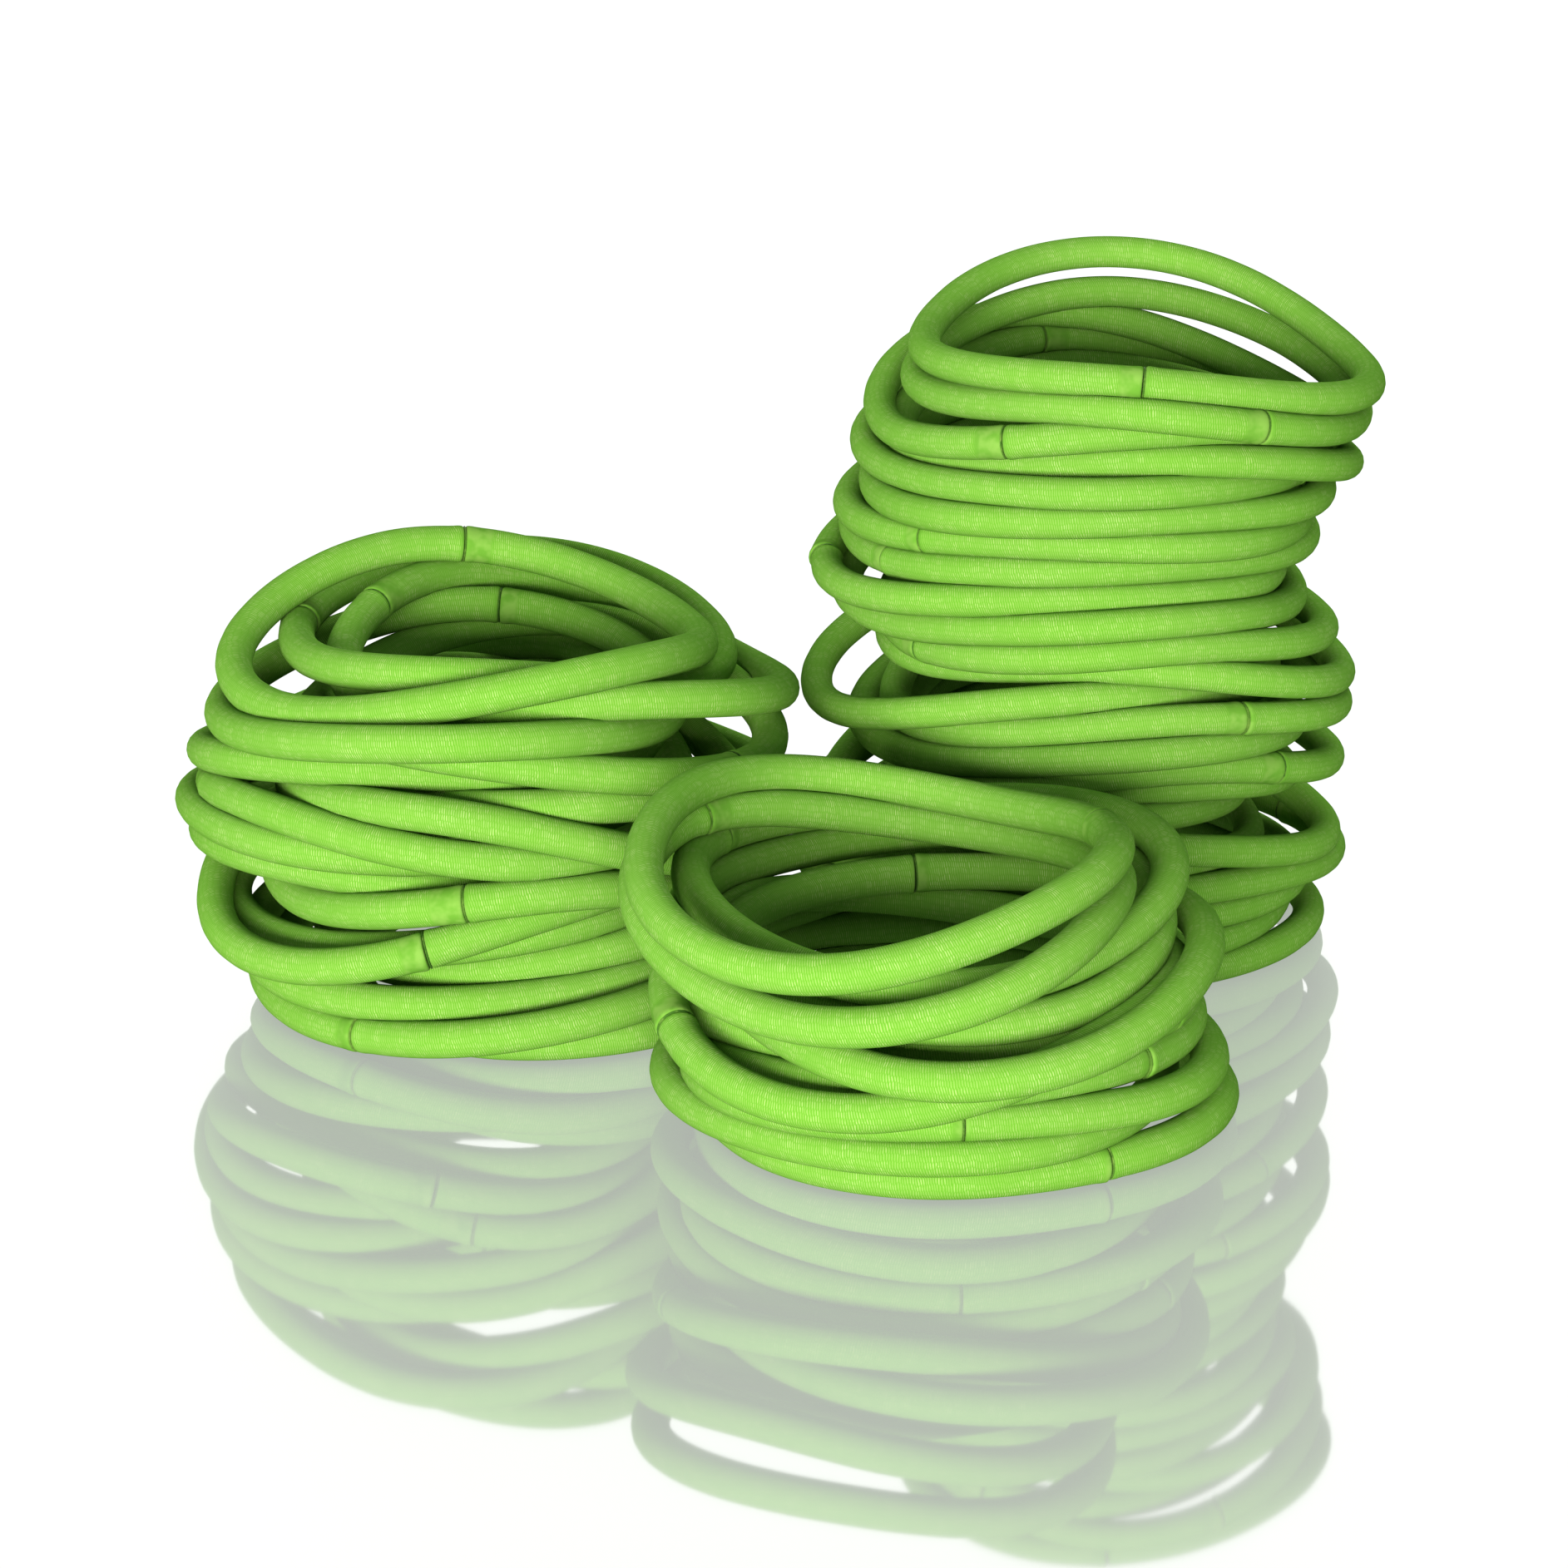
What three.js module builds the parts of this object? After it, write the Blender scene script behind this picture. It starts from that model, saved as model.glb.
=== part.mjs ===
// A set of textile-covered elastic loop bands, lying in three loose stacks on a flat surface.
// Millimetres, +Z up, +X across the set. Each band is a cord of one fixed length whose ends are
// bonded into a loop. The bands are worked out from the lowest up: each gets an outline in plan, and
// is then let down on the bands that already lie there.
import * as THREE from "three";

// Driving dimensions
const CUT_LENGTH = 152; // cord in one loop, so a round loop is 52.4 mm across outside
const LOOP_RADIUS = CUT_LENGTH / (2 * Math.PI); // to the middle of the cord
const SECTION_SHARE = 0.42; // radius of the faceted section, as a share of the cord's diameter
const COVER_WALL = 0.45; // of the braided cover, round the rubber
const CORE_CLEARANCE = 0.3; // between the faceted cover and core
const BOND_LENGTH = 0.8; // of the bonded joint, along the cord
const BOND_CLEARANCE = 0.3; // between the bond and each cut end

// Facets
const SEGMENTS = 24; // steps round a loop
const SIDES = 6; // steps round the cord, one flat side down
const FINE = 4; // contact samples in one step
const FLOOR_SNAP = 0.25; // corners lower than this share of the cord's diameter lie on the surface

// How a loop settles
const SQUEEZE = 0.86; // middles of two touching cords, as a share of the diameter: the rubber gives
const WAVES = 5; // lobes of the highest wave that the loop can take out of its plane
const WEIGHT = 0.004; // pull at each step, mm
const SETTLE_STEPS = 4000;
const THIRD_LOBE = 0.8; // of the three-lobed irregularity of each outline, mm
const LOBE_TURN = 137.5; // from each band's irregularity to the next one's

// Each band, from the lowest up: x of its middle from the stack's place, its width as a share of a
// round loop's, the turn of its long axis, and the direction of its bonded joint from its middle.
// sway is how far the bands' middles wander from front to back, and back moves one band further.
// stiffness is the cord's, for its two-lobed wave, against WEIGHT. tip is how much higher a band's
// own spring holds its back, mm, and is below zero where it holds it lower.
const STACKS = {
  front: {
    place: [18, 4],
    cord: 4.0,
    stiffness: 0.0012,
    sway: 3.0,
    bands: [
      { x: 0, back: 3, wide: 1.08, turn: 0, joint: -55 },
      { x: -4, back: 5, wide: 1.04, turn: 0, joint: -22 },
      { x: -1, back: 1, wide: 1.07, turn: 5, joint: -90 },
      { x: -3.5, back: -2, wide: 1.08, turn: 0, joint: -32 },
      { x: -2, back: 2, wide: 1.05, turn: 10, joint: -30 },
      { x: -5, back: -1, wide: 1.04, turn: 0, joint: 200 },
      { x: 0, back: -3, wide: 1.0, turn: 0, joint: 100 },
      { x: -4, wide: 0.98, turn: 0, joint: 45 },
      { x: -4, back: 1, wide: 1.0, turn: 0, joint: 150 },
      { x: -8, back: -2, tip: -1, wide: 0.98, turn: 0, joint: 140 },
      { x: -9, back: -2.5, tip: -3, wide: 0.95, turn: 0, joint: 8 },
    ],
  },
  left: {
    place: [-29, 43],
    cord: 4.0,
    stiffness: 0.0007,
    sway: 4.0,
    bands: [
      { x: 4.5, wide: 1.0, turn: 0, joint: 60 },
      { x: -2.5, wide: 1.04, turn: 0, joint: -125 },
      { x: -5, wide: 1.02, turn: 10, joint: 100 },
      { x: 2, wide: 1.03, turn: 0, joint: 10 },
      { x: -7, wide: 1.0, turn: 0, joint: 30 },
      { x: -9, wide: 1.02, turn: 0, joint: -90 },
      { x: -2, wide: 1.03, turn: -10, joint: -95 },
      { x: -10, wide: 1.0, turn: 0, joint: 75 },
      { x: -12, wide: 1.03, turn: 0, joint: -60 },
      { x: -7, wide: 1.04, turn: 0, joint: 190 },
      { x: 0.5, wide: 1.02, turn: 0, joint: 130 },
      { x: 4, wide: 1.0, turn: 0, joint: 20 },
      { x: -10, wide: 1.0, turn: 20, joint: -50 },
      { x: 2, wide: 1.02, turn: 0, joint: -30 },
      { x: -7, wide: 1.0, turn: 0, joint: 80 },
      { x: 5, back: 2, wide: 0.98, turn: 0, joint: 160 },
      { x: -2, back: 3, wide: 0.96, turn: 0, joint: 170 },
      { x: -4.5, back: -1, tip: 0.5, wide: 1.04, turn: 0, joint: 95 },
    ],
  },
  right: {
    place: [38, 60],
    cord: 3.6,
    stiffness: 0.001,
    sway: 1.0,
    bands: [
      { x: -3, wide: 1.02, turn: 0, joint: 80 },
      { x: -6, wide: 1.04, turn: 0, joint: 150 },
      { x: -4.5, wide: 1.0, turn: 20, joint: 200 },
      { x: -1, wide: 1.05, turn: 0, joint: 30 },
      { x: -9, wide: 1.03, turn: 0, joint: 100 },
      { x: -2, wide: 1.03, turn: 0, joint: -75 },
      { x: -10.5, wide: 1.0, turn: 0, joint: 60 },
      { x: -6.5, wide: 1.06, turn: 0, joint: -130 },
      { x: -1.5, wide: 1.02, turn: -10, joint: -45 },
      { x: -4, wide: 1.0, turn: 0, joint: 120 },
      { x: -1, wide: 1.02, turn: 0, joint: -60 },
      { x: -9, wide: 1.05, turn: 0, joint: 20 },
      { x: 0, wide: 1.04, turn: 0, joint: 140 },
      { x: -2.5, wide: 1.0, turn: 0, joint: -145 },
      { x: -5.5, wide: 1.03, turn: 0, joint: 75 },
      { x: -8.5, wide: 1.02, turn: 0, joint: 185 },
      { x: -5.5, wide: 1.04, turn: 0, joint: -150 },
      { x: -5, wide: 1.03, turn: 0, joint: -137 },
      { x: -4, wide: 1.02, turn: 10, joint: 50 },
      { x: -4.5, wide: 1.0, turn: 0, joint: -20 },
      { x: 0, wide: 1.02, turn: 0, joint: 110 },
      { x: -3, wide: 1.04, turn: 0, joint: -120 },
      { x: 1.5, wide: 1.0, turn: 0, joint: -63 },
      { x: 1.5, tip: 1.5, wide: 1.0, turn: 0, joint: -95 },
    ],
  },
};

const degrees = THREE.MathUtils.degToRad;
const share = (i, n) => (2 * Math.PI * i) / n;

// The corners of a band's outline in plan: an ellipse with a little of a third lobe, scaled so that
// the band has its full length of cord.
function outline({ wide, turn, middle, lobe }) {
  const deep = 2 - wide;
  const corners = Array.from({ length: SEGMENTS }, (_, i) => {
    const angle = share(i, SEGMENTS) - degrees(turn);
    const third = THIRD_LOBE * Math.cos(3 * angle - lobe);
    const u = (LOOP_RADIUS * wide + third) * Math.cos(angle);
    const v = (LOOP_RADIUS * deep + third) * Math.sin(angle);
    return new THREE.Vector2(u, v).rotateAround(new THREE.Vector2(), degrees(turn));
  });
  const length = corners.reduce((sum, p, i) => sum + p.distanceTo(corners[(i + 1) % SEGMENTS]), 0);
  return corners.map((p) => p.multiplyScalar(CUT_LENGTH / length).add(middle));
}

// The points between the corners too, where contact is looked for.
function sampled(corners) {
  return corners.flatMap((p, i) => {
    const next = corners[(i + 1) % corners.length];
    return Array.from({ length: FINE }, (_, f) => p.clone().lerp(next, f / FINE));
  });
}

// The least height of the cord's middle at each point, over the bands already lying there.
function support(points, below, cord) {
  const touching = cord * SQUEEZE;
  return points.map((p) => {
    let height = cord / 2;
    for (const q of below.flat()) {
      const across = (p.x - q.x) ** 2 + (p.y - q.y) ** 2;
      if (across < touching ** 2) height = Math.max(height, q.z + Math.sqrt(touching ** 2 - across));
    }
    return height;
  });
}

// The shapes a loop takes out of its plane: up and down, two tilts, and waves of two lobes or more.
function shapesOf() {
  const corner = Array.from({ length: SEGMENTS }, (_, i) => share(i, SEGMENTS));
  const shapes = [{ heights: corner.map(() => 1), stiffening: 0 }];
  for (let wave = 1; wave <= WAVES; wave++) {
    const stiffening = ((wave * (wave ** 2 - 1)) / 6) ** 2;
    shapes.push({ heights: corner.map((t) => Math.cos(wave * t)), stiffening });
    shapes.push({ heights: corner.map((t) => Math.sin(wave * t)), stiffening });
  }
  return shapes;
}

const SHAPES = shapesOf();
const FRONT_TO_BACK = 2; // the tilt that raises a band's back

// A height at each sample, from the heights at the corners.
const fine = (heights) =>
  heights.flatMap((h, i) => {
    const next = heights[(i + 1) % heights.length];
    return Array.from({ length: FINE }, (_, f) => h + ((next - h) * f) / FINE);
  });

const FINE_SHAPES = SHAPES.map((shape) => fine(shape.heights));

// Lets a band down under its own weight until the bands below hold it up.
function settle(corners, below, { cord, stiffness, tip }) {
  const floor = support(sampled(corners), below, cord);
  const amount = SHAPES.map(() => 0);
  amount[0] = Math.max(...floor) + 1;
  const heightAt = (table, i) => table.reduce((sum, row, s) => sum + row[i] * amount[s], 0);
  for (let step = 0; step < SETTLE_STEPS; step++) {
    const depths = floor.map((f, i) => Math.max(0, f - heightAt(FINE_SHAPES, i)));
    SHAPES.forEach((shape, s) => {
      const push = depths.reduce((sum, d, i) => sum + d * FINE_SHAPES[s][i], 0) / depths.length;
      amount[s] += push - stiffness * shape.stiffening * amount[s];
    });
    amount[0] -= WEIGHT;
  }
  amount[FRONT_TO_BACK] += tip / 2;
  amount[0] += Math.max(...floor.map((f, i) => f - heightAt(FINE_SHAPES, i)));
  const heights = SHAPES.map((shape) => shape.heights);
  return corners.map((p, i) => new THREE.Vector3(p.x, p.y, heightAt(heights, i)));
}

// The corners of the cord's section at one corner of the loop, one flat side down.
function sectionAt(line, i, radius, cord) {
  const n = line.length;
  const along = line[(i + 1) % n].clone().sub(line[(i + n - 1) % n]).normalize();
  const out = new THREE.Vector3(along.y, -along.x, 0).normalize();
  const up = out.clone().cross(along);
  return Array.from({ length: SIDES }, (_, side) => {
    const corner = line[i].clone();
    corner.addScaledVector(out, radius * Math.cos(share(side, SIDES)));
    corner.addScaledVector(up, radius * Math.sin(share(side, SIDES)));
    if (corner.z < FLOOR_SNAP * cord) corner.z = 0;
    return corner;
  });
}

// A closed loop of cord: a torus with every corner moved onto the settled line.
function loopGeometry(line, cord) {
  const radius = SECTION_SHARE * cord;
  const geometry = new THREE.TorusGeometry(LOOP_RADIUS, radius, SIDES, SEGMENTS);
  for (let step = 0; step <= SEGMENTS; step++) {
    const section = sectionAt(line, step % SEGMENTS, radius, cord);
    for (let side = 0; side <= SIDES; side++) {
      const { x, y, z } = section[side % SIDES];
      geometry.attributes.position.setXYZ(side * (SEGMENTS + 1) + step, x, y, z);
    }
  }
  return geometry;
}

// A regular outline of the cord's section.
function sectionShape(Outline, radius) {
  const corners = Array.from({ length: SIDES }, (_, side) => {
    const angle = share(side, SIDES);
    return new THREE.Vector2(radius * Math.cos(angle), radius * Math.sin(angle));
  });
  return new Outline(corners);
}

// The loop's line as an open curve, from one cut end of the cord to the other.
function cutCurve(line, joint) {
  const loop = new THREE.CatmullRomCurve3(line, true);
  const end = (BOND_LENGTH / 2 + BOND_CLEARANCE) / CUT_LENGTH;
  const start = joint / 360 + end;
  const points = Array.from({ length: SEGMENTS + 1 }, (_, i) =>
    loop.getPointAt((start + (i / SEGMENTS) * (1 - 2 * end) + 1) % 1),
  );
  return { curve: new THREE.CatmullRomCurve3(points), loop };
}

function extruded(shape, extrudePath) {
  return new THREE.ExtrudeGeometry(shape, { steps: SEGMENTS, extrudePath, bevelEnabled: false });
}

const COVER = new THREE.MeshStandardMaterial({ color: 0x7cc843, roughness: 0.75 });
const RUBBER = new THREE.MeshStandardMaterial({ color: 0xe6e2d4, roughness: 0.6 });
const BOND = new THREE.MeshStandardMaterial({ color: 0x55802a, roughness: 0.5 });

function named(name, geometry, material) {
  const mesh = new THREE.Mesh(geometry, material.clone());
  mesh.name = name;
  return mesh;
}

// The top band of a stack in its three pieces: the cover, the rubber in it, and the bonded joint.
function cutBand(name, line, cord, joint) {
  const radius = SECTION_SHARE * cord;
  const { curve, loop } = cutCurve(line, joint);
  const tube = sectionShape(THREE.Shape, radius);
  tube.holes.push(sectionShape(THREE.Path, radius - COVER_WALL));
  const rod = sectionShape(THREE.Shape, radius - COVER_WALL - CORE_CLEARANCE);
  const bond = named(`${name}_bond`, new THREE.CylinderGeometry(radius, radius, BOND_LENGTH, 12), BOND);
  const at = (joint / 360 + 1) % 1;
  bond.position.copy(loop.getPointAt(at));
  bond.quaternion.setFromUnitVectors(new THREE.Vector3(0, 1, 0), loop.getTangentAt(at));
  return [
    named(`${name}_cover`, extruded(tube, curve), COVER),
    named(`${name}_core`, extruded(rod, curve), RUBBER),
    bond,
  ];
}

function stack(stackName, { place, cord, stiffness, sway, bands }) {
  const group = new THREE.Group();
  const below = [];
  bands.forEach(({ x, back = 0, tip = 0, wide, turn, joint }, index) => {
    const lobe = degrees(index * LOBE_TURN);
    const y = back + sway * Math.sin(2 * lobe);
    const middle = new THREE.Vector2(place[0] + x, place[1] + y);
    const line = settle(outline({ wide, turn, middle, lobe }), below, { cord, stiffness, tip });
    below.push(sampled(line));
    const name = `${stackName}_band_${String(index + 1).padStart(2, "0")}`;
    if (index < bands.length - 1) group.add(named(name, loopGeometry(line, cord), COVER));
    else group.add(...cutBand(name, line, cord, joint));
  });
  return group;
}

// The origin is on the surface, under the middle of the set.
function centred(group) {
  const middle = new THREE.Box3().setFromObject(group).getCenter(new THREE.Vector3());
  group.position.set(-middle.x, -middle.y, 0);
  return group;
}

const set = new THREE.Group();
for (const [name, design] of Object.entries(STACKS)) set.add(stack(name, design));
export default centred(set);
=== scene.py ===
import math

import bpy
import numpy as np
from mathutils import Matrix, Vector
from mathutils.kdtree import KDTree


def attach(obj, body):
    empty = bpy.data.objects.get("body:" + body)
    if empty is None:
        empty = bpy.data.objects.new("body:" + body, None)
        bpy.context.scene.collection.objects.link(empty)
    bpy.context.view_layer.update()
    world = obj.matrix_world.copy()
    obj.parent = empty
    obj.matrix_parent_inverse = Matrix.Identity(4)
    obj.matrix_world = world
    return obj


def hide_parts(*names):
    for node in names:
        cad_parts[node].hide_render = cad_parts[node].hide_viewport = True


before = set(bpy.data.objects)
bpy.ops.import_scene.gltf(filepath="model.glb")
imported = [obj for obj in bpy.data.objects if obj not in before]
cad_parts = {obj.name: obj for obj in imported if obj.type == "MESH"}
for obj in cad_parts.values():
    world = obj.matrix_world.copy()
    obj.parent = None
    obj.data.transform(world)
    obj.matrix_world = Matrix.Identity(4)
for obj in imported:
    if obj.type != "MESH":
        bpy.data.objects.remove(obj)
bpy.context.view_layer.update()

MM = 0.001
TURN = 2 * math.pi

# Driving dimensions of a band, as the frame's bands have them
CUT_LENGTH = 152 * MM
SECTION_SHARE = 0.42  # radius of the frame's faceted section, as a share of the cord's diameter
SECTIONS = 24  # of a frame band, round its loop

# Inside a band
COVER_WALL = 0.5 * MM
CORE_GAP = 0.1 * MM

# Fineness of the visible cords
CURVE_STEPS = 24  # of the smooth line, between two sections of the frame band
SIDES = 20
RING_STEP = 0.7 * MM
CORE_SIDES = 12

# Small irregularities of a cord
ASIDE = 0.1 * MM
RISE = 0.05 * MM
THICKNESS = 0.006  # of the radius
THICKNESS_WAVES = (5, 14)

# Cords that touch
REACH = 1.08  # how far touching is looked for, as a share of the largest diameter
CONTACT_GAP = 0.01 * MM

# The bonded joint
END_GAP = 0.11 * MM  # from the middle of the joint to each cut end of the cover
END_STEPS = [0.0, 0.05, 0.12, 0.22, 0.4, 0.7, 1.1, 1.7, 2.5]  # rings near a cut end, mm
SHOULDER = 0.04  # swelling of the pressed ends, as a share of the radius
SHOULDER_AT = 0.6 * MM
SHOULDER_WIDTH = 0.6 * MM
MISMATCH = 0.2 * MM  # how far the two glued ends miss each other
MISMATCH_FADE = 2.2 * MM
LIP = 0.9  # radius of a cut end, as a share of the cord's
LIP_LENGTH = 0.3 * MM
BOND_PLACES = [-0.1, -0.07, -0.03, 0.03, 0.07, 0.1]  # rings of the bonded disc, mm
BOND_PROFILE = [0.9, 0.97, 1.0, 1.0, 0.97, 0.9]  # its radius there, as a share of the cord's
BEAD = (0.97, 1.03)  # from the smallest disc to the largest

# The cord of each stack, and the direction of each band's joint from its middle, from the lowest up
STACKS = {
    "front": {
        "cord": 4.0 * MM,
        "joints": [-55, -22, -90, -32, -30, 200, 100, 45, 150, 140, 8],
    },
    "left": {
        "cord": 4.0 * MM,
        "joints": [
            60, -125, 100, 10, 30, -90, -95, 75, -60, 190, 130, 20,
            -50, -30, 80, 160, 170, 95,
        ],
    },
    "right": {
        "cord": 3.6 * MM,
        "joints": [
            80, 150, 200, 30, 100, -75, 60, -130, -45, 120, -60, 20,
            140, -145, 75, 185, -150, -137, 50, -20, 110, -120, -63, -95,
        ],
    },
}


# ---------- the bands' lines ----------

def section_corners(node, sections):
    """The corners of a band's CAD node, grouped by section, in order round the loop."""
    corners = np.array([v.co[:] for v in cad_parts[node].data.vertices])
    corners = np.unique(np.round(corners, 7), axis=0)
    middle = (corners.min(axis=0) + corners.max(axis=0)) / 2
    angles = np.arctan2(corners[:, 1] - middle[1], corners[:, 0] - middle[0])
    order = np.argsort(angles)
    corners, angles = corners[order], angles[order]
    gaps = np.diff(np.append(angles, angles[0] + TURN))
    cuts = np.sort(np.argsort(gaps)[-sections:]) + 1
    return np.split(np.roll(corners, -cuts[0], axis=0), cuts[1:] - cuts[0])


def whole_line(node, cord):
    """The corners of a one-piece band's line. Its height comes from the section's flat top, because
    the underside of a band on the surface is cut flat."""
    top = SECTION_SHARE * cord * math.sin(math.pi / 3)
    points = []
    for group in section_corners(node, SECTIONS):
        heights = np.sort(group[:, 2])
        points.append([*group[:, :2].mean(axis=0), heights[-2:].mean() - top])
    return np.array(points)


def cut_line(node):
    """The corners of a cut cover's line, with its two ends joined at the middle of the joint."""
    points = np.array([group.mean(axis=0) for group in section_corners(node, SECTIONS + 1)])
    steps = np.linalg.norm(np.roll(points, -1, axis=0) - points, axis=1)
    first = int(np.argmin(steps))
    points = np.roll(points, -first, axis=0)
    return np.vstack([(points[0] + points[1]) / 2, points[2:]])


def smooth_loop(points):
    """A closed Catmull-Rom curve through the points."""
    before, after = np.roll(points, 1, axis=0), np.roll(points, -1, axis=0)
    beyond = np.roll(points, -2, axis=0)
    t = (np.arange(CURVE_STEPS) / CURVE_STEPS)[None, :, None]
    a, b, c, d = (p[:, None, :] for p in (before, points, after, beyond))
    curve = 0.5 * (
        2 * b + (c - a) * t + (2 * a - 5 * b + 4 * c - d) * t**2 + (3 * b - a - 3 * c + d) * t**3
    )
    return curve.reshape(-1, 3)


class Loop:
    """A closed line, asked for by the distance round it from its joint."""

    def __init__(self, points, joint):
        curve = smooth_loop(points)
        middle = (curve.min(axis=0) + curve.max(axis=0)) / 2
        away = np.arctan2(curve[:, 1] - middle[1], curve[:, 0] - middle[0]) - math.radians(joint)
        start = int(np.argmin(np.abs(np.angle(np.exp(1j * away)))))
        curve = np.roll(curve, -start, axis=0)
        self.curve = np.vstack([curve, curve[:1]])
        steps = np.linalg.norm(np.diff(self.curve, axis=0), axis=1)
        self.along = np.concatenate([[0], np.cumsum(steps)])
        self.length = self.along[-1]

    def at(self, distances):
        wrapped = np.mod(distances, self.length)
        return np.stack([np.interp(wrapped, self.along, self.curve[:, k]) for k in range(3)], axis=1)


def wander(distances, length, rng, size, waves=(3, 9)):
    """A smooth closed wobble round a loop."""
    total = np.zeros_like(distances)
    for wave in range(*waves):
        total += rng.normal() * np.sin(TURN * wave * distances / length + rng.uniform(0, TURN)) / wave
    return size * total


# ---------- meshes ----------

def frames_along(centres):
    """The outward and upward directions of the cord at each of its rings."""
    ahead = np.gradient(centres, axis=0)
    ahead /= np.linalg.norm(ahead, axis=1)[:, None]
    out = np.stack([ahead[:, 1], -ahead[:, 0], np.zeros(len(ahead))], axis=1)
    out /= np.linalg.norm(out, axis=1)[:, None]
    up = np.cross(out, ahead)
    return out, up


def rings_along(centres, radii, sides):
    """The corners of a tube's rings."""
    out, up = frames_along(centres)
    angles = TURN * np.arange(sides) / sides
    wide = radii[:, None, None] * out[:, None, :] * np.cos(angles)[None, :, None]
    tall = radii[:, None, None] * up[:, None, :] * np.sin(angles)[None, :, None]
    return centres[:, None, :] + wide + tall


def tube_mesh(name, rings, distances, material, inner=None):
    """A tube with closed ends, or with a bore where inner gives the bore's rings. Its UV map holds
    the share of the way round the loop and the share of the way round the cord."""
    count, sides = rings.shape[:2]
    corners = rings.reshape(-1, 3)
    faces, places = [], []

    def wall(start, flip):
        for i in range(count - 1):
            u0, u1 = distances[i] / CUT_LENGTH, distances[i + 1] / CUT_LENGTH
            for j in range(sides):
                k = (j + 1) % sides
                face = [start + i * sides + j, start + i * sides + k,
                        start + (i + 1) * sides + k, start + (i + 1) * sides + j]
                v0, v1 = j / sides, (j + 1) / sides
                place = [(u0, v0), (u0, v1), (u1, v1), (u1, v0)]
                faces.append(face[::-1] if flip else face)
                places.extend(place[::-1] if flip else place)

    wall(0, True)
    last = (count - 1) * sides
    ends = [(0, distances[0] / CUT_LENGTH, False), (last, distances[-1] / CUT_LENGTH, True)]
    if inner is None:
        for start, u, flip in ends:
            face = list(range(start, start + sides))
            faces.append(face[::-1] if flip else face)
            places.extend([(u, j / sides) for j in range(sides)])
    else:
        bore = len(corners)
        corners = np.vstack([corners, inner.reshape(-1, 3)])
        wall(bore, False)
        for start, u, flip in ends:
            for j in range(sides):
                k = (j + 1) % sides
                face = [start + j, start + k, bore + start + k, bore + start + j]
                faces.append(face[::-1] if flip else face)
                places.extend([(u, j / sides)] * 4)
    mesh = bpy.data.meshes.new(name)
    mesh.from_pydata(corners.tolist(), [], faces)
    layer = mesh.uv_layers.new(name="cord")
    layer.data.foreach_set("uv", np.array(places, dtype=np.float32).ravel())
    mesh.polygons.foreach_set("use_smooth", [True] * len(faces))
    mesh.materials.append(material)
    piece = bpy.data.objects.new(name, mesh)
    bpy.context.scene.collection.objects.link(piece)
    return piece


# ---------- materials ----------

class Nodes:
    """A short way to write a material's nodes."""

    def __init__(self, name):
        self.material = bpy.data.materials.new(name)
        self.material.use_nodes = True
        self.tree = self.material.node_tree
        self.shader = self.tree.nodes["Principled BSDF"]

    def new(self, kind, **settings):
        node = self.tree.nodes.new(kind)
        for key, value in settings.items():
            setattr(node, key, value)
        return node

    def link(self, source, target):
        self.tree.links.new(source, target)

    def put(self, socket, value):
        if isinstance(value, bpy.types.NodeSocket):
            self.link(value, socket)
        else:
            socket.default_value = value

    def math(self, operation, *values):
        node = self.new("ShaderNodeMath", operation=operation)
        for socket, value in zip(node.inputs, values):
            self.put(socket, value)
        return node.outputs[0]

    def step(self, value, low, high, start=0.0, end=1.0):
        node = self.new("ShaderNodeMapRange", interpolation_type="SMOOTHSTEP")
        for socket, given in zip(node.inputs, (value, low, high, start, end)):
            self.put(socket, given)
        return node.outputs[0]

    def vector(self, *values):
        node = self.new("ShaderNodeCombineXYZ")
        for socket, value in zip(node.inputs, values):
            self.put(socket, value)
        return node.outputs[0]

    def noise(self, vector, scale, detail=2.0):
        node = self.new("ShaderNodeTexNoise")
        self.link(vector, node.inputs["Vector"])
        node.inputs["Scale"].default_value = scale
        node.inputs["Detail"].default_value = detail
        return node.outputs["Fac"]

    def mix(self, amount, first, second, blend="MIX"):
        node = self.new("ShaderNodeMix", data_type="RGBA", blend_type=blend)
        self.put(node.inputs[0], amount)
        self.put(node.inputs[6], first)
        self.put(node.inputs[7], second)
        return node.outputs[2]

    def bump(self, height, strength, distance):
        node = self.new("ShaderNodeBump")
        node.inputs["Strength"].default_value = strength
        node.inputs["Distance"].default_value = distance
        self.link(height, node.inputs["Height"])
        return node.outputs["Normal"]


# The braided cover
RIB_PITCH = 0.24 * MM  # of the thread across the cord
ROWS = 18  # of short stitches round the cord
SLANT = 0.3  # of a stitch, in ribs
RIB_DRIFT = 1.8  # of the ribs along the cord, in ribs
ROW_DRIFT = 1.2  # of the stitches round the cord, in rows
# The valley colour is a darker copy of the ridge colour: painted shade in the grooves between threads
# and at the stitch ends.
VALLEY_SHADE = (0.046, 0.142, 0.01, 1)
RIDGE = (0.073, 0.167, 0.024, 1)
# The glint colour is a painted highlight, laid in pale specks on the raised threads.
GLINT = (0.3, 0.34, 0.17, 1)
GLINT_SHARE = 0.28
PRESSED = (0.048, 0.133, 0.013, 1), (0.074, 0.162, 0.025, 1)
PATCH_TINT = (0.88, 1.0, 0.72, 1)
RIB_RELIEF = 0.04 * MM

# The bonded joint, the rubber, and the surface under it all
BOND_DARK = (0.016, 0.055, 0.005, 1), (0.035, 0.08, 0.01, 1)
BOND_PALE = (0.06, 0.12, 0.018, 1)
BOND_RELIEF = 0.08 * MM
RUBBER = (0.72, 0.68, 0.56, 1), (0.84, 0.81, 0.72, 1)
RUBBER_RELIEF = 0.03 * MM
FLOOR_COLOUR = (0.02, 0.02, 0.02, 1)
FLOOR_GLOW = (0.93, 1.0, 0.91, 1)
FLOOR_GLOW_STRENGTH = 0.68
FLOOR_MIRROR = 0.35
FLOOR_ROUGHNESS = 0.04


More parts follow.
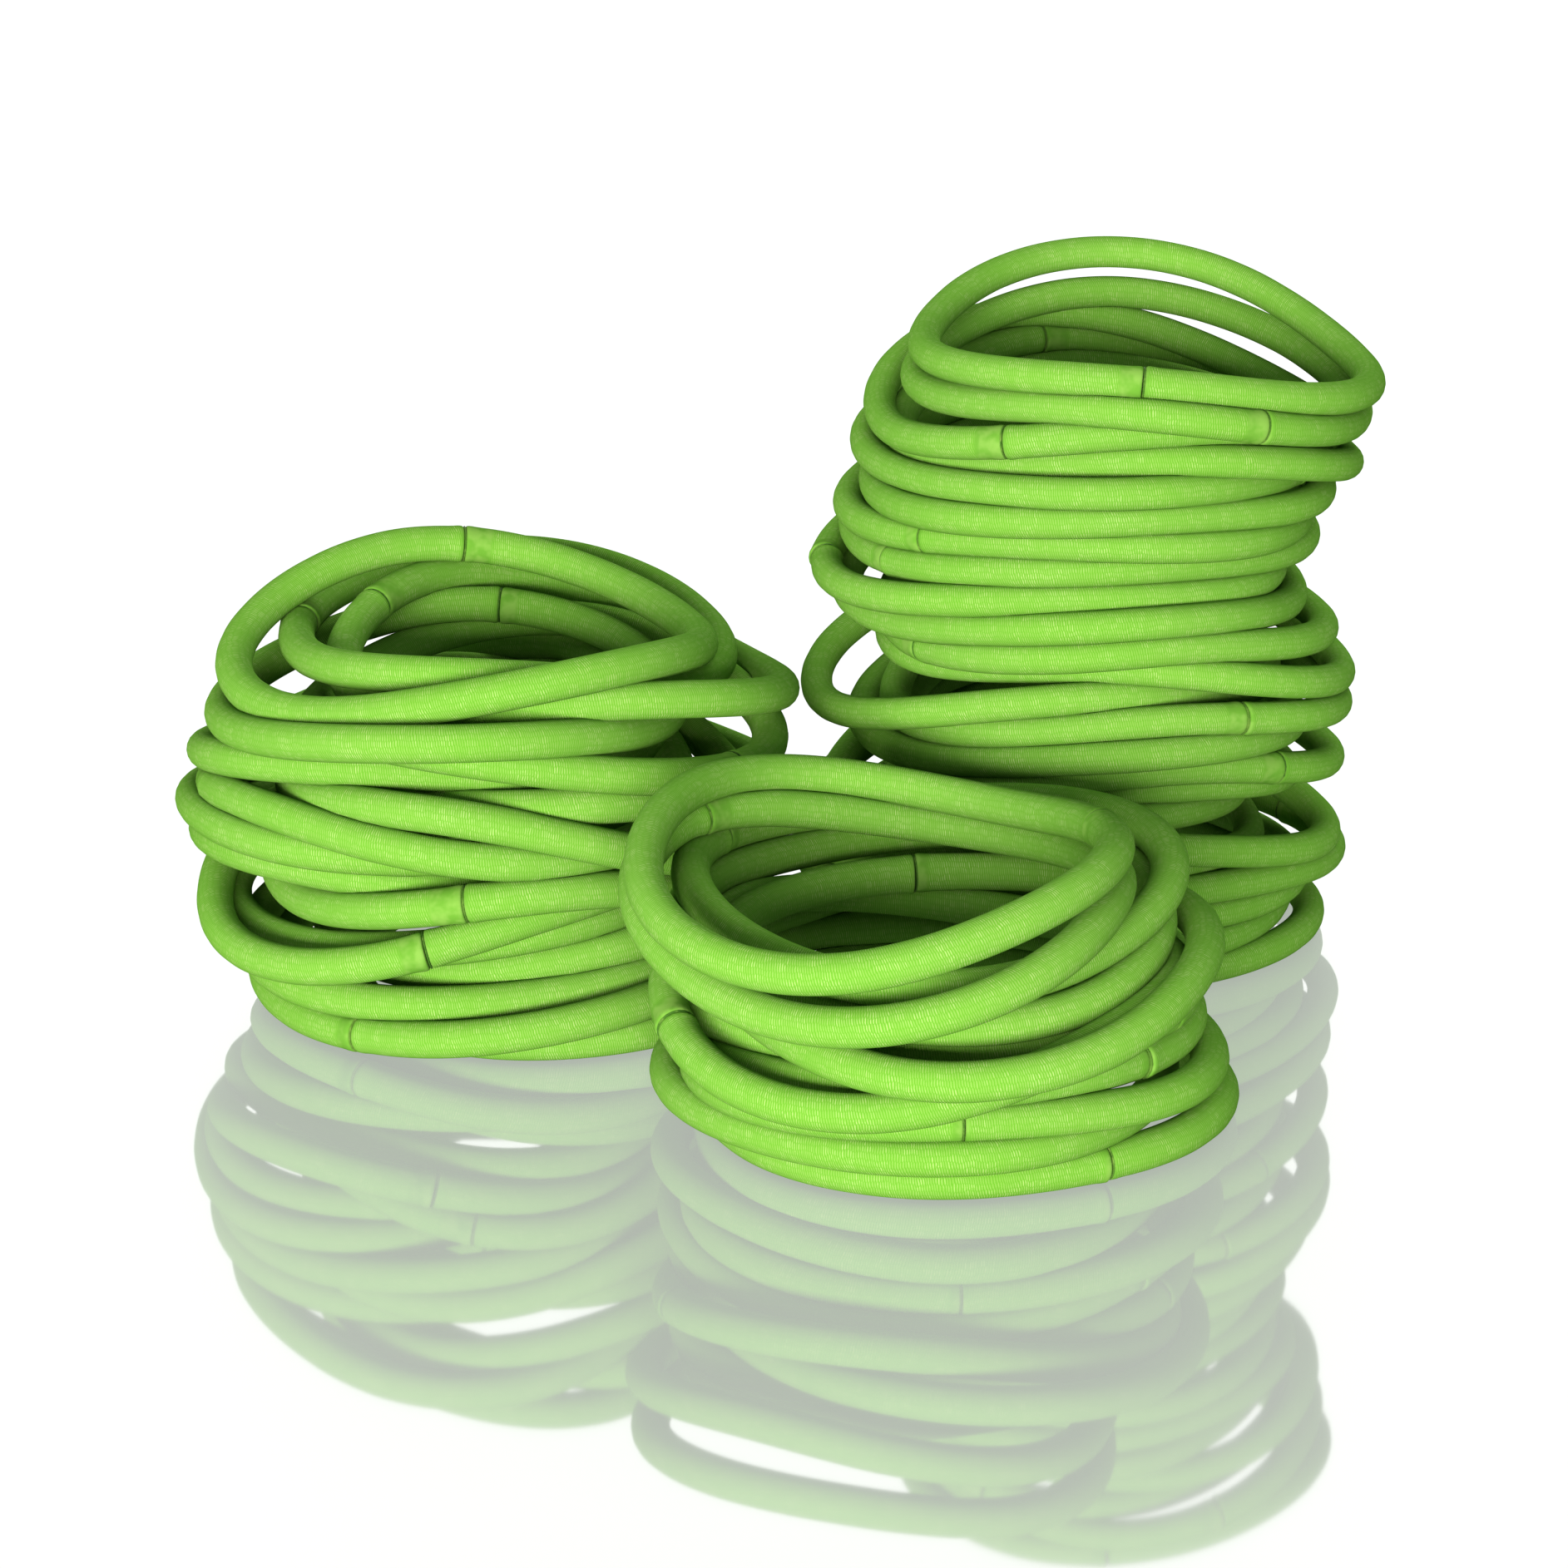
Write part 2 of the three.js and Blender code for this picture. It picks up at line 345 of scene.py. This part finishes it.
def cover_material():
    """The braided cover: fine silk-like threads across the cord, in rows of short stitches, pressed
    smooth at the joint. Its colour holds painted shade in the valleys between threads and painted
    highlights (glints) on raised threads."""
    n = Nodes("braided_cover")
    place = n.new("ShaderNodeUVMap", uv_map="cord").outputs["UV"]
    split = n.new("ShaderNodeSeparateXYZ")
    n.link(place, split.inputs[0])
    u, v = split.outputs[0], split.outputs[1]
    object_place = n.new("ShaderNodeTexCoord").outputs["Object"]
    drift = n.math("MULTIPLY", n.noise(object_place, 420), RIB_DRIFT)
    stray = n.math("MULTIPLY", n.noise(object_place, 900, 1.0), ROW_DRIFT)
    row = n.math("ADD", n.math("MULTIPLY", v, float(ROWS)), stray)
    row_share = n.math("FRACT", row)
    odd_row = n.math("PINGPONG", n.math("FLOOR", row), 1.0)
    offset = n.math("MULTIPLY_ADD", odd_row, 0.5, n.math("MULTIPLY", row_share, SLANT))
    phase = n.math("ADD", n.math("MULTIPLY_ADD", u, CUT_LENGTH / RIB_PITCH, offset), drift)
    thread = n.math("MULTIPLY_ADD", n.math("SINE", n.math("MULTIPLY", phase, TURN)), 0.5, 0.5)
    stitch_end = n.math("ABSOLUTE", n.math("SINE", n.math("MULTIPLY", row, math.pi)))
    stitch = n.new("ShaderNodeTexWhiteNoise", noise_dimensions="2D")
    n.link(n.vector(n.math("FLOOR", phase), n.math("FLOOR", row), 0.0), stitch.inputs["Vector"])
    lively = stitch.outputs["Value"]
    # Nearness to the joint, in metres along the cord
    near = n.math("MULTIPLY", n.math("MINIMUM", u, n.math("SUBTRACT", 1.0, u)), CUT_LENGTH)
    open_weave = n.step(near, 0.15 * MM, 0.9 * MM, 0.3, 1.0)
    raised = n.math("MULTIPLY", thread, n.step(stitch_end, 0.0, 0.8, 0.7, 1.0))
    height = n.math("MULTIPLY", raised, open_weave)
    patch = n.noise(object_place, 60, 3.0)
    worn = n.noise(object_place, 600)
    # Painted shade: darker where the thread is low, between threads and at the stitch ends.
    weave = n.mix(n.step(height, 0.0, 0.9), VALLEY_SHADE, RIDGE)
    # Painted highlight: pale glints on the tops of raised threads, on random stitches, thinned in
    # random patches.
    painted_glint = n.math("MULTIPLY", n.step(lively, 0.0, 1.0, 0.1, 1.0), n.step(height, 0.5, 1.0))
    painted_glint = n.math("MULTIPLY", painted_glint, n.step(worn, 0.35, 0.65, 0.15, 1.0))
    weave = n.mix(n.math("MULTIPLY", painted_glint, GLINT_SHARE), weave, GLINT)
    pressed = n.mix(n.step(worn, 0.35, 0.65), *PRESSED)
    colour = n.mix(n.step(near, 0.1 * MM, 0.8 * MM), pressed, weave)
    tinted = n.mix(n.step(patch, 0.35, 0.65, 0.0, 0.4), colour, PATCH_TINT, "MULTIPLY")
    n.link(tinted, n.shader.inputs["Base Color"])
    n.link(n.step(height, 0.0, 1.0, 0.75, 0.55), n.shader.inputs["Roughness"])
    n.link(n.bump(height, 0.24, RIB_RELIEF), n.shader.inputs["Normal"])
    n.shader.inputs["Specular IOR Level"].default_value = 0.0
    return n.material


def bond_material():
    """Cured adhesive with pressed thread ends in it."""
    n = Nodes("bond")
    object_place = n.new("ShaderNodeTexCoord").outputs["Object"]
    grain = n.noise(object_place, 1400, 3.0)
    stain = n.noise(object_place, 90)
    dark = n.mix(n.step(stain, 0.35, 0.65), *BOND_DARK)
    colour = n.mix(n.step(grain, 0.45, 0.75), dark, BOND_PALE)
    n.link(colour, n.shader.inputs["Base Color"])
    n.link(n.step(grain, 0.3, 0.7, 0.5, 0.8), n.shader.inputs["Roughness"])
    n.link(n.bump(grain, 0.5, BOND_RELIEF), n.shader.inputs["Normal"])
    n.shader.inputs["Specular IOR Level"].default_value = 0.1
    return n.material


def rubber_material():
    """The rubber core: smooth, off-white, with a little bloom."""
    n = Nodes("rubber_core")
    object_place = n.new("ShaderNodeTexCoord").outputs["Object"]
    bloom = n.noise(object_place, 320, 3.0)
    colour = n.mix(n.step(bloom, 0.35, 0.7), *RUBBER)
    n.link(colour, n.shader.inputs["Base Color"])
    n.link(n.step(bloom, 0.3, 0.7, 0.5, 0.7), n.shader.inputs["Roughness"])
    n.link(n.bump(bloom, 0.3, RUBBER_RELIEF), n.shader.inputs["Normal"])
    return n.material


# ---------- the bands ----------

class Band:
    """One band: its line, and the rings of its visible cover."""

    def __init__(self, stack, index, count, cord, joint):
        self.name = f"{stack}_band_{index + 1:02d}"
        self.cut = index == count - 1
        self.body = "root" if index == 0 else self.name
        self.radius = cord / 2
        points = cut_line(f"{self.name}_cover") if self.cut else whole_line(self.name, cord)
        self.loop = Loop(points, joint)
        self.rng = np.random.default_rng(1000 * (index + 1) + len(stack))
        self.distances = self.ring_places()
        self.centres = self.wandering_line(flat=index == 0)
        self.radii = self.radius * self.profile()
        self.rings = rings_along(self.centres, self.radii, SIDES)

    def ring_places(self):
        """Distances from the joint at which the cover has a ring: close together near its ends."""
        ends = np.array(END_STEPS) * MM + END_GAP
        start, stop = ends[-1], self.loop.length - ends[-1]
        count = int(round((stop - start) / RING_STEP))
        between = np.linspace(start, stop, count + 1)[1:-1]
        return np.concatenate([ends, between, self.loop.length - ends[::-1]])

    def wandering_line(self, flat):
        """The line with its small irregularities, and with its glued ends missing each other."""
        s, length = self.distances, self.loop.length
        centres = self.loop.at(s)
        out, up = frames_along(centres)
        aside = wander(s, length, self.rng, ASIDE)
        rise = wander(s, length, self.rng, 0.0 if flat else RISE)
        nearest = np.minimum(s, length - s)
        miss = MISMATCH * self.rng.uniform(-1, 1) * np.exp(-nearest / MISMATCH_FADE)
        miss = np.where(s < length / 2, miss, -miss)
        return centres + out * (aside + miss)[:, None] + up * rise[:, None]

    def profile(self):
        """The cover's radius along the cord, as a share of its usual one."""
        s, length = self.distances, self.loop.length
        nearest = np.minimum(s, length - s)
        shoulder = SHOULDER * np.exp(-(((nearest - SHOULDER_AT) / SHOULDER_WIDTH) ** 2))
        rounding = np.clip((nearest - END_GAP) / LIP_LENGTH, 0, 1)
        lip = LIP + (1 - LIP) * np.sqrt(1 - (1 - rounding) ** 2)
        uneven = wander(s, length, self.rng, THICKNESS, THICKNESS_WAVES)
        return (1 + shoulder + uneven) * lip


def press_together(bands):
    """Flattens the soft cords where two of them touch, half each, and where one lies on the surface."""
    owners = [(b, i) for b, band in enumerate(bands) for i in range(len(band.centres))]
    tree = KDTree(len(owners))
    for key, (b, i) in enumerate(owners):
        tree.insert(bands[b].centres[i], key)
    tree.balance()
    reach = 2 * max(band.radius for band in bands) * REACH
    for b, band in enumerate(bands):
        for i, centre in enumerate(band.centres):
            nearest = {}
            for _, key, distance in tree.find_range(Vector(centre), reach):
                other = owners[key]
                if other[0] != b and distance < nearest.get(other[0], (reach, 0))[0]:
                    nearest[other[0]] = (distance, other[1])
            for other, (distance, j) in nearest.items():
                towards = (bands[other].centres[j] - centre) / distance
                share = band.radius / (band.radius + bands[other].radius)
                limit = distance * share - CONTACT_GAP
                past = np.maximum((band.rings[i] - centre) @ towards - limit, 0)
                band.rings[i] -= past[:, None] * towards
        band.rings[:, :, 2] = np.maximum(band.rings[:, :, 2], 0)


def bond_piece(band, material):
    """The disc of cured adhesive between the two cut ends, pressed out to a thin bead at its rim."""
    places = np.array(BOND_PLACES) * MM
    profile = np.array(BOND_PROFILE) * band.rng.uniform(*BEAD) * band.radius
    ends = (band.centres[0] + band.centres[-1]) / 2
    line = band.loop.at(places) - band.loop.at(np.zeros(1)) + ends
    rings = rings_along(line, profile, SIDES)
    rings[:, :, 2] = np.maximum(rings[:, :, 2], 0)
    return tube_mesh(f"{band.name}_bond_piece", rings, places, material)


def band_pieces(band, cover, rubber, bond):
    """Makes a band's pieces, and rides them on its body."""
    inner = None
    if band.cut:
        bore = np.full(len(band.centres), band.radius - COVER_WALL)
        inner = rings_along(band.centres, bore, SIDES)
    skin = tube_mesh(f"{band.name}_cover_piece", band.rings, band.distances, cover, inner)
    disc = bond_piece(band, bond)
    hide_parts(f"{band.name}_cover" if band.cut else band.name)
    made = [(skin, "braided_cover"), (disc, "bond")]
    if band.cut:
        radius = np.full(len(band.centres), band.radius - COVER_WALL - CORE_GAP)
        rings = rings_along(band.centres, radius, CORE_SIDES)
        rod = tube_mesh(f"{band.name}_core_piece", rings, band.distances, rubber)
        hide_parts(f"{band.name}_core")
        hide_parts(f"{band.name}_bond")
        made.append((rod, "rubber_core"))
    for piece, slot in made:
        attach(piece, band.body)


def make_bands():
    bands = []
    for stack, design in STACKS.items():
        count = len(design["joints"])
        for index, joint in enumerate(design["joints"]):
            bands.append(Band(stack, index, count, design["cord"], joint))
    press_together(bands)
    cover, rubber, bond = cover_material(), rubber_material(), bond_material()
    for band in bands:
        band_pieces(band, cover, rubber, bond)


# ---------- the stage ----------

# The camera stands in front of the set and looks a little down
CAMERA_PLACE = (0.0007, -0.4004, 0.1688)
CAMERA_PITCH = 19.5
CAMERA_LENS = 91.7

# Strength of the white surroundings: from and to which height, or which way back, and how strong there
OVERHEAD_FADE = (0.5, 0.85, 1.0, 0.4)
BACKDROP_FADE = (-0.2, 0.6, 1.0, 1.85)

FLOOR_HALF = 6.0
FLOOR_LEVEL = -0.2 * MM


LAMPS = [
    {
        "name": "front_light",
        "place": (-0.2, -0.9, 0.16),
        "target": (0, 0, 0.03),
        "size": (0.8, 0.25),
        "power": 50.0,
        "colour": (1.0, 0.87, 0.9),
    },
    {
        "name": "back_light",
        "place": (0.2, 0.7, 0.5),
        "target": (0, 0, 0.05),
        "size": (0.6, 0.3),
        "power": 9.0,
        "colour": (1.0, 0.95, 0.95),
    },
]


def make_camera():
    data = bpy.data.cameras.new("camera")
    data.sensor_width = 36.0
    data.lens = CAMERA_LENS
    data.clip_start = 0.01
    camera = bpy.data.objects.new("camera", data)
    camera.location = CAMERA_PLACE
    camera.rotation_euler = (math.radians(90 - CAMERA_PITCH), 0, 0)
    bpy.context.scene.collection.objects.link(camera)
    bpy.context.scene.camera = camera


def make_floor():
    """A white sheet under clear glass: evenly lit, with a soft mirror image of the stacks."""
    n = Nodes("floor")
    n.shader.inputs["Base Color"].default_value = FLOOR_COLOUR
    n.shader.inputs["Emission Color"].default_value = FLOOR_GLOW
    n.shader.inputs["Emission Strength"].default_value = FLOOR_GLOW_STRENGTH
    glass = n.new("ShaderNodeBsdfGlossy")
    glass.inputs["Roughness"].default_value = FLOOR_ROUGHNESS
    both = n.new("ShaderNodeMixShader")
    both.inputs[0].default_value = FLOOR_MIRROR
    n.link(n.shader.outputs[0], both.inputs[1])
    n.link(glass.outputs[0], both.inputs[2])
    n.link(both.outputs[0], n.tree.nodes["Material Output"].inputs["Surface"])
    mesh = bpy.data.meshes.new("floor")
    signs = [(-1, -1), (1, -1), (1, 1), (-1, 1)]
    corners = [(FLOOR_HALF * a, FLOOR_HALF * b, FLOOR_LEVEL) for a, b in signs]
    mesh.from_pydata(corners, [], [(0, 1, 2, 3)])
    mesh.materials.append(n.material)
    floor = bpy.data.objects.new("floor", mesh)
    bpy.context.scene.collection.objects.link(floor)


def area_light(name, place, target, size, power, colour):
    """A soft lamp that lights the object but is not seen itself, nor in the floor."""
    data = bpy.data.lights.new(name, "AREA")
    data.shape = "RECTANGLE"
    data.size, data.size_y = size
    data.energy = power
    data.color = colour
    light = bpy.data.objects.new(name, data)
    light.location = place
    light.rotation_euler = (Vector(target) - Vector(place)).to_track_quat("-Z", "Y").to_euler()
    light.visible_camera = False
    light.visible_glossy = False
    bpy.context.scene.collection.objects.link(light)


def make_light():
    """A white studio: a bright backdrop, white sides, dimmer overhead, and two soft lamps."""
    world = bpy.data.worlds.new("world")
    world.use_nodes = True
    tree = world.node_tree
    direction = tree.nodes.new("ShaderNodeTexCoord").outputs["Generated"]
    split = tree.nodes.new("ShaderNodeSeparateXYZ")
    tree.links.new(direction, split.inputs[0])
    strength = tree.nodes.new("ShaderNodeMath")
    strength.operation = "MULTIPLY"
    for slot, (axis, steps) in enumerate([("Z", OVERHEAD_FADE), ("Y", BACKDROP_FADE)]):
        fade = tree.nodes.new("ShaderNodeMapRange")
        tree.links.new(split.outputs[axis], fade.inputs[0])
        for socket, value in zip(fade.inputs[1:5], steps):
            socket.default_value = value
        tree.links.new(fade.outputs[0], strength.inputs[slot])
    sky = tree.nodes["Background"]
    sky.inputs["Color"].default_value = (1, 1, 1, 1)
    tree.links.new(strength.outputs[0], sky.inputs["Strength"])
    bpy.context.scene.world = world
    for lamp in LAMPS:
        area_light(**lamp)
    bpy.context.scene.view_settings.view_transform = "Standard"


make_camera()
make_light()
make_floor()
make_bands()
